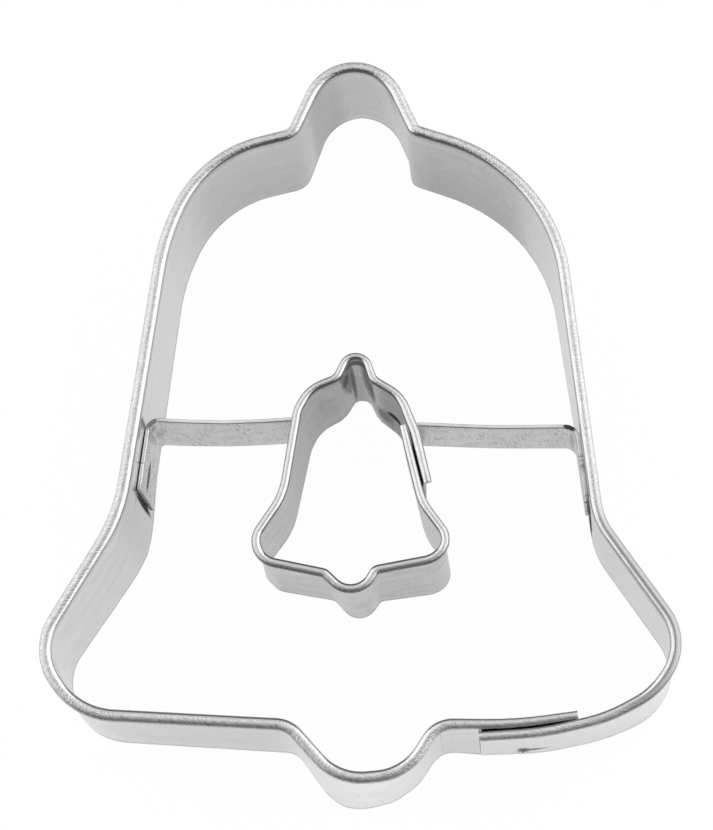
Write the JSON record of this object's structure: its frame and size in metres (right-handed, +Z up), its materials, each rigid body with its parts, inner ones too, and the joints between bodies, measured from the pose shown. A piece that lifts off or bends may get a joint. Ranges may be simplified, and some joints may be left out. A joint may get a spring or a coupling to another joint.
{
  "type": "cookie cutter",
  "caption": "Bell-shaped steel cookie cutter with a smaller bell cutter held inside it by bent cross strips; rolled rims on top, bare cutting edges below",
  "frame": {"origin": "under the middle of the cutter's box, on the plane of the cutting edges", "axes": "+Z up from the cutting edges to the rolled rims; +Y from the clapper to the crown; +X to the right, seen from above with the crown at the top"},
  "size_m": [0.0628, 0.072, 0.02],
  "materials": {
    "band_steel": "bright rolled sheet",
    "strut_steel": "rolled sheet, duller than the bands"
  },
  "bodies": {
    "root": {"outer_bell_band": "band_steel", "inner_bell_band": "band_steel", "left_strut": "strut_steel", "right_strut": "strut_steel"}
  },
  "joints": []
}
